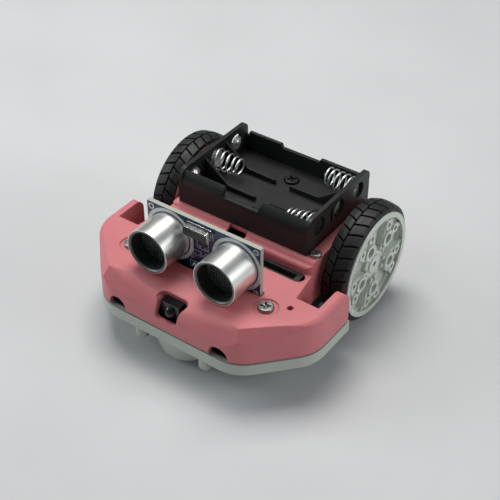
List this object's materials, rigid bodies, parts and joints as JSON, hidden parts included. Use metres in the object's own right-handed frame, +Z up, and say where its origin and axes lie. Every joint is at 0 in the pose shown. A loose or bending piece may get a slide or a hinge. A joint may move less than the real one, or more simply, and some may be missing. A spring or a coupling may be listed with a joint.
{
  "type": "two wheel robot car",
  "caption": "Two wheel educational robot car: moulded shell on a base tray, geared wheels, ball caster, ultrasonic eyes, empty battery holder, upright card edge slot.",
  "frame": {"origin": "middle of the footprint, on the floor under the car", "axes": "+Z up; the front with the ranging eyes faces -Y; +X runs along the wheel axles towards the wheel on the right of the picture"},
  "size_m": [0.0892, 0.0842, 0.0469],
  "materials": {
    "tyre": "satin rubber, fine mould texture",
    "hub_plastic": "glossy off-white moulding",
    "shell_plastic": "satin pink moulding, fine grain",
    "base_plastic": "satin light grey-white moulding",
    "holder_plastic": "satin black moulding",
    "steel": "nickel plated steel",
    "spring_wire": "bright plated spring wire",
    "can_metal": "turned and polished",
    "mesh_metal": "dark mesh",
    "brass": "plain",
    "gold_contact": "plated",
    "range_board_blue": "glossy lacquer on glass fibre board",
    "board_black": "lacquered glass fibre board",
    "black_plastic": "connector moulding",
    "chip": "moulded epoxy",
    "lamp": "tinted clear resin",
    "nylon": "moulded nylon",
    "gear_steel": "hobbed"
  },
  "bodies": {
    "chassis": {"base_tray": "base_plastic", "battery_holder": "holder_plastic", "block_screw": "steel", "board_chips": "chip", "bracket_screws": "steel", "buzzer": "black_plastic", "caster_retainer": "nylon", "contact_springs": "spring_wire", "contact_strips": "steel", "crystal_can": "steel", "deck_screws": "steel", "edge_connector": "black_plastic", "edge_contacts": "gold_contact", "front_led_left": "lamp", "front_led_right": "lamp", "gearbox_frame_left": "brass", "gearbox_frame_right": "brass", "header_block": "black_plastic", "header_pins": "gold_contact", "holder_screws": "steel", "ir_leads": "steel", "ir_receiver": "chip", "led_leads": "steel", "line_sensors": "chip", "main_board": "board_black", "motor_bracket_left": "black_plastic", "motor_bracket_right": "black_plastic", "motor_can_left": "steel", "motor_can_right": "steel", "motor_cap_left": "nylon", "motor_cap_right": "nylon", "power_switch": "steel", "range_board": "range_board_blue", "range_chips": "chip", "range_socket": "black_plastic", "top_shell": "shell_plastic", "transducer_can_left": "can_metal", "transducer_can_right": "can_metal", "transducer_cone_left": "mesh_metal", "transducer_cone_right": "mesh_metal", "transducer_mesh_left": "mesh_metal", "transducer_mesh_right": "mesh_metal"},
    "wheel_right": {"tyre_right": "tyre", "hub_right": "hub_plastic", "output_shaft_right": "steel"},
    "idler_right": {"idler_gear_right": "gear_steel"},
    "motor_rotor_right": {"pinion_right": "brass"},
    "wheel_left": {"tyre_left": "tyre", "hub_left": "hub_plastic", "output_shaft_left": "steel"},
    "idler_left": {"idler_gear_left": "gear_steel"},
    "motor_rotor_left": {"pinion_left": "brass"},
    "caster": {"caster_ball": "steel"},
    "switch": {"switch_lever": "black_plastic"}
  },
  "joints": [
    {"name": "wheel_right_spin", "type": "hinge", "parent": "chassis", "child": "wheel_right", "pos_m": [0.035, 0.0206, 0.0215], "axis": [1, 0, 0], "continuous": true},
    {"name": "idler_right_spin", "type": "hinge", "parent": "chassis", "child": "idler_right", "pos_m": [0.023, 0.02366, 0.0215], "axis": [1, 0, 0], "continuous": true},
    {"name": "rotor_right_spin", "type": "hinge", "parent": "chassis", "child": "motor_rotor_right", "pos_m": [0.02, 0.0206, 0.0215], "axis": [1, 0, 0], "continuous": true},
    {"name": "wheel_left_spin", "type": "hinge", "parent": "chassis", "child": "wheel_left", "pos_m": [-0.035, 0.0206, 0.0215], "axis": [1, 0, 0], "continuous": true},
    {"name": "idler_left_spin", "type": "hinge", "parent": "chassis", "child": "idler_left", "pos_m": [-0.023, 0.01754, 0.0215], "axis": [1, 0, 0], "continuous": true},
    {"name": "rotor_left_spin", "type": "hinge", "parent": "chassis", "child": "motor_rotor_left", "pos_m": [-0.02, 0.0206, 0.0215], "axis": [1, 0, 0], "continuous": true},
    {"name": "caster_roll", "type": "hinge", "parent": "chassis", "child": "caster", "pos_m": [0, -0.0318, 0.0049], "axis": [1, 0, 0], "continuous": true},
    {"name": "power_switch_slide", "type": "slide", "parent": "chassis", "child": "switch", "axis": [1, 0, 0], "range_m": [0, 0.002]}
  ],
  "couplings": [
    {"joint": "idler_right_spin", "follows": "wheel_right_spin", "ratio": -2.4},
    {"joint": "rotor_right_spin", "follows": "wheel_right_spin", "ratio": 5.76},
    {"joint": "idler_left_spin", "follows": "wheel_left_spin", "ratio": -2.4},
    {"joint": "rotor_left_spin", "follows": "wheel_left_spin", "ratio": 5.76}
  ]
}
